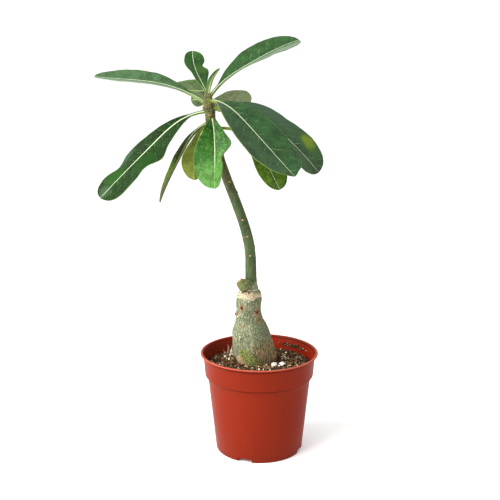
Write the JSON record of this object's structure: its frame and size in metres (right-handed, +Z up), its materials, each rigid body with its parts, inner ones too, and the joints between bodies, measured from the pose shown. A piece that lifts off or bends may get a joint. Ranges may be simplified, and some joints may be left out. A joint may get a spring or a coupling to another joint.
{
  "type": "potted desert rose",
  "caption": "Potted desert rose: swollen grey caudex and one leaning green stem with a crown of broad leaves, in soil in a round red-brown nursery pot.",
  "frame": {"origin": "centre of the pot's flat underside, on the surface that it stands on", "axes": "+Z up through the pot, -Y towards the side the plant is looked at from, +X to that viewer's right"},
  "size_m": [0.1915, 0.1373, 0.3552],
  "materials": {
    "pot_plastic": "satin",
    "soil": "matte",
    "grey_bark": "matte",
    "green_stem": "matte",
    "leaf_green": "satin",
    "leaf_bright": "satin"
  },
  "bodies": {
    "root": {"pot": "pot_plastic", "soil": "soil", "caudex": "grey_bark", "stem": "green_stem", "leaf_upper_right": "leaf_green", "leaf_left_long": "leaf_green", "leaf_back_left": "leaf_green", "leaf_back_small": "leaf_green", "leaf_back_right": "leaf_green", "leaf_front_right": "leaf_green", "leaf_right": "leaf_green", "leaf_right_low": "leaf_bright", "leaf_front": "leaf_bright", "leaf_left_large": "leaf_green", "leaf_left_narrow": "leaf_green", "leaf_back_low": "leaf_bright", "leaf_top": "leaf_green", "leaf_top_bud": "leaf_bright"}
  },
  "joints": []
}
